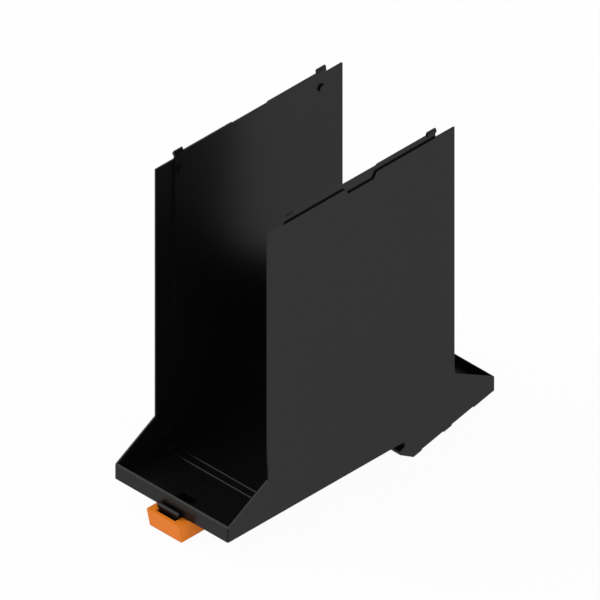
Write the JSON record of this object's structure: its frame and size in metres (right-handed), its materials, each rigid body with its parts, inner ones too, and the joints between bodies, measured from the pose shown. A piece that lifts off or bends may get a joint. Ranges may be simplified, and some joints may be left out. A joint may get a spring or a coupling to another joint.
{
  "type": "din rail enclosure",
  "caption": "Open base of a rail-mount electronics enclosure: a tray with two tall side walls, snap hooks, a fixed rail claw and a sprung sliding rail foot.",
  "frame": {"origin": "centre line of the rail, at mid-width, in the plane of the underside that sits on the rail", "axes": "+X along the rail, +Y across it from the sliding foot to the fixed claw, +Z away from the rail"},
  "size_m": [0.0456, 0.111, 0.1094],
  "materials": {
    "black_plastic": "fine matt moulded finish",
    "orange_plastic": "satin moulded finish"
  },
  "bodies": {
    "base": {"housing": "black_plastic"},
    "foot": {"rail_foot": "orange_plastic"}
  },
  "joints": [
    {"name": "foot_slide", "type": "slide", "parent": "base", "child": "foot", "axis": [0, -1, 0], "range_m": [0, 0.0035], "stiffness_N_per_m": 3000}
  ]
}
